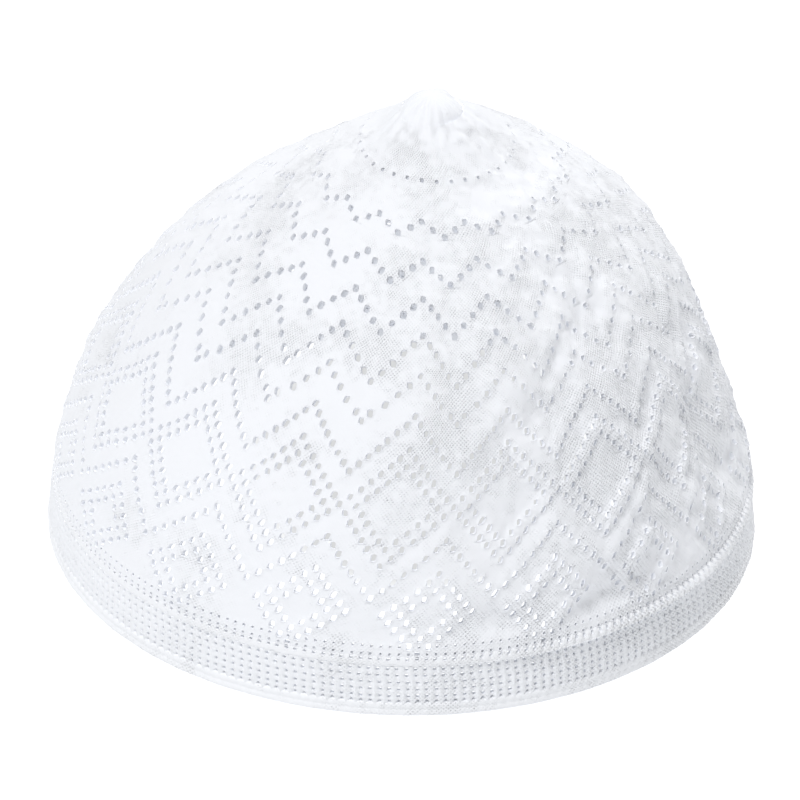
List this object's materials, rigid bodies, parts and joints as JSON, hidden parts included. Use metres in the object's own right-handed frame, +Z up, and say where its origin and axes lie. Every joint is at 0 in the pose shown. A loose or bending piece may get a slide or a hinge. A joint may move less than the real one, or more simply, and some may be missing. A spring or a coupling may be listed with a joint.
{
  "type": "kufi",
  "caption": "Lace-knitted skull cap that rests on its rim: a domed openwork crown drawn to a small nub, over a raised picot ridge, a ribbed band and a rolled hem.",
  "frame": {"origin": "centre of the rim, on the surface that the cap rests on", "axes": "+Z up through the crown, +Y towards the back along the cap's longer side, +X to the wearer's left"},
  "size_m": [0.1778, 0.1856, 0.1246],
  "materials": {
    "lace_knit": "matt white cotton yarn, lace-knitted",
    "rib_knit": "matt white cotton yarn, ribbed open mesh",
    "edge_knit": "matt white cotton yarn, rolled and stitched"
  },
  "bodies": {
    "root": {"hem": "edge_knit", "band": "rib_knit", "picot_ridge": "edge_knit", "crown": "lace_knit", "tip": "lace_knit"}
  },
  "joints": []
}
